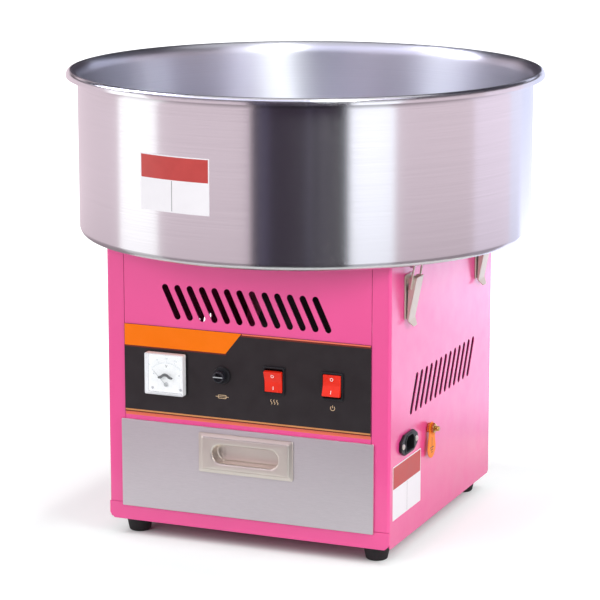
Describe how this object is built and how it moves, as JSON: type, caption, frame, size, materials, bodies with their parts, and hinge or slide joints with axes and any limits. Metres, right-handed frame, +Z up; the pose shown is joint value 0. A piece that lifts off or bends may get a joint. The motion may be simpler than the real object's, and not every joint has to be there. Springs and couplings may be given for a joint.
{
  "type": "electric candyfloss machine",
  "caption": "Tabletop electric candyfloss machine: steel bowl latched on a pink sheet-metal cabinet with drawer, meter, rocker switches and a motor-driven floss head.",
  "frame": {"origin": "on the floor under the centre of the bowl, which is the bottom centre of the bounding box", "axes": "+X to the right seen from the front, +Y to the back (the drawer and controls face -Y), +Z up along the shaft"},
  "size_m": [0.52, 0.52, 0.5],
  "materials": {
    "pink_paint": "smooth gloss powder coat",
    "brushed_steel": "fine brushed stainless steel",
    "zinc_steel": "zinc-plated sheet steel",
    "satin_nickel": "satin nickel plate",
    "charcoal_film": "printed film, charcoal with a coloured band",
    "black_plastic": "moulded black plastic",
    "red_plastic": "gloss red moulding",
    "white_card": "white printed dial",
    "clear_plastic": "clear moulded cover",
    "black_rubber": "black rubber",
    "brass": "machined brass",
    "orange_card": "orange plastic tag",
    "cast_aluminium": "turned aluminium",
    "motor_enamel": "dark enamel on die-cast aluminium",
    "phenolic": "brown phenolic board",
    "nichrome": "heat-darkened resistance wire sheath"
  },
  "bodies": {
    "cabinet": {"base_pan": "pink_paint", "left_side_panel": "pink_paint", "right_side_panel": "pink_paint", "front_panel": "pink_paint", "rear_panel": "pink_paint", "top_plate": "pink_paint", "drawer_shelf": "zinc_steel", "front_left_foot": "black_rubber", "front_right_foot": "black_rubber", "rear_left_foot": "black_rubber", "rear_right_foot": "black_rubber", "right_drawer_runner": "zinc_steel", "left_drawer_runner": "zinc_steel", "control_overlay": "charcoal_film", "meter_housing": "black_plastic", "meter_dial": "white_card", "meter_lens": "clear_plastic", "fuse_holder": "black_plastic", "heat_switch_body": "black_plastic", "power_switch_body": "black_plastic", "inlet_socket": "black_plastic", "ground_bolt": "brass", "front_left_latch_plate": "satin_nickel", "front_right_latch_plate": "satin_nickel", "rear_left_latch_plate": "satin_nickel", "rear_right_latch_plate": "satin_nickel", "motor_bracket": "zinc_steel", "motor_housing": "motor_enamel", "shaft_bearing": "zinc_steel", "brush_holder": "phenolic"},
    "drawer": {"drawer_tray": "zinc_steel", "drawer_front": "brushed_steel", "drawer_handle": "satin_nickel"},
    "rotor": {"motor_shaft": "zinc_steel", "slip_ring_hub": "phenolic", "lower_slip_ring": "brass", "upper_slip_ring": "brass", "head_base": "cast_aluminium", "heater_ring": "nichrome", "head_band": "brushed_steel", "head_cap": "cast_aluminium"},
    "bowl_unit": {"bowl": "brushed_steel", "front_left_bowl_catch": "zinc_steel", "front_right_bowl_catch": "zinc_steel", "rear_left_bowl_catch": "zinc_steel", "rear_right_bowl_catch": "zinc_steel"},
    "front_left_lever": {"front_left_latch_lever": "satin_nickel"},
    "front_right_lever": {"front_right_latch_lever": "satin_nickel"},
    "rear_left_lever": {"rear_left_latch_lever": "satin_nickel"},
    "rear_right_lever": {"rear_right_latch_lever": "satin_nickel"},
    "front_left_bail": {"front_left_latch_bail": "satin_nickel"},
    "front_right_bail": {"front_right_latch_bail": "satin_nickel"},
    "rear_left_bail": {"rear_left_latch_bail": "satin_nickel"},
    "rear_right_bail": {"rear_right_latch_bail": "satin_nickel"},
    "needle": {"meter_needle": "black_plastic"},
    "carrier": {"fuse_carrier": "zinc_steel"},
    "cap": {"fuse_cap": "black_plastic"},
    "heat_rocker": {"heat_rocker": "red_plastic"},
    "power_rocker": {"power_rocker": "red_plastic"},
    "tag": {"ground_tag": "orange_card"}
  },
  "joints": [
    {"name": "drawer_slide", "type": "slide", "parent": "cabinet", "child": "drawer", "axis": [0, -1, 0], "range_m": [0, 0.2]},
    {"name": "head_spin", "type": "hinge", "parent": "cabinet", "child": "rotor", "pos_m": [0, 0, 0.3], "axis": [0, 0, 1], "continuous": true},
    {"name": "bowl_lift", "type": "slide", "parent": "cabinet", "child": "bowl_unit", "axis": [0, 0, 1], "range_m": [0, 0.15]},
    {"name": "front_right_lever_hinge", "type": "hinge", "parent": "cabinet", "child": "front_right_lever", "pos_m": [0.171, -0.114, 0.299], "axis": [0, -1, 0], "range_deg": [0, 95]},
    {"name": "rear_right_lever_hinge", "type": "hinge", "parent": "cabinet", "child": "rear_right_lever", "pos_m": [0.171, 0.114, 0.299], "axis": [0, -1, 0], "range_deg": [0, 95]},
    {"name": "front_left_lever_hinge", "type": "hinge", "parent": "cabinet", "child": "front_left_lever", "pos_m": [-0.171, -0.114, 0.299], "axis": [0, 1, 0], "range_deg": [0, 95]},
    {"name": "rear_left_lever_hinge", "type": "hinge", "parent": "cabinet", "child": "rear_left_lever", "pos_m": [-0.171, 0.114, 0.299], "axis": [0, 1, 0], "range_deg": [0, 95]},
    {"name": "front_right_bail_swing", "type": "hinge", "parent": "front_right_lever", "child": "front_right_bail", "pos_m": [0.16961, -0.114, 0.29112], "axis": [0, 1, 0], "range_deg": [0, 142.5]},
    {"name": "rear_right_bail_swing", "type": "hinge", "parent": "rear_right_lever", "child": "rear_right_bail", "pos_m": [0.16961, 0.114, 0.29112], "axis": [0, 1, 0], "range_deg": [0, 142.5]},
    {"name": "front_left_bail_swing", "type": "hinge", "parent": "front_left_lever", "child": "front_left_bail", "pos_m": [-0.16961, -0.114, 0.29112], "axis": [0, -1, 0], "range_deg": [0, 142.5]},
    {"name": "rear_left_bail_swing", "type": "hinge", "parent": "rear_left_lever", "child": "rear_left_bail", "pos_m": [-0.16961, 0.114, 0.29112], "axis": [0, -1, 0], "range_deg": [0, 142.5]},
    {"name": "needle_swing", "type": "hinge", "parent": "cabinet", "child": "needle", "pos_m": [-0.0905, -0.1692, 0.175], "axis": [0, 1, 0], "range_deg": [0, 90], "stiffness_Nm_per_rad": 0.0001, "springref_deg": -20.05},
    {"name": "fuse_pull", "type": "slide", "parent": "cabinet", "child": "carrier", "axis": [0, -1, 0], "range_m": [0, 0.04]},
    {"name": "fuse_cap_turn", "type": "hinge", "parent": "carrier", "child": "cap", "pos_m": [-0.027, -0.174, 0.19], "axis": [0, 1, 0], "range_deg": [0, 60]},
    {"name": "heat_rocker_tilt", "type": "hinge", "parent": "cabinet", "child": "heat_rocker", "pos_m": [0.033, -0.1643, 0.19], "axis": [-1, 0, 0], "range_deg": [0, 20]},
    {"name": "power_rocker_tilt", "type": "hinge", "parent": "cabinet", "child": "power_rocker", "pos_m": [0.099, -0.1643, 0.19], "axis": [1, 0, 0], "range_deg": [0, 20]},
    {"name": "tag_swing", "type": "hinge", "parent": "cabinet", "child": "tag", "pos_m": [0.1665, -0.048, 0.123], "axis": [1, 0, 0], "range_deg": [-70, 70]}
  ],
  "couplings": [
    {"joint": "front_right_bail_swing", "follows": "front_right_lever_hinge", "ratio": 1.5},
    {"joint": "rear_right_bail_swing", "follows": "rear_right_lever_hinge", "ratio": 1.5},
    {"joint": "front_left_bail_swing", "follows": "front_left_lever_hinge", "ratio": 1.5},
    {"joint": "rear_left_bail_swing", "follows": "rear_left_lever_hinge", "ratio": 1.5}
  ]
}
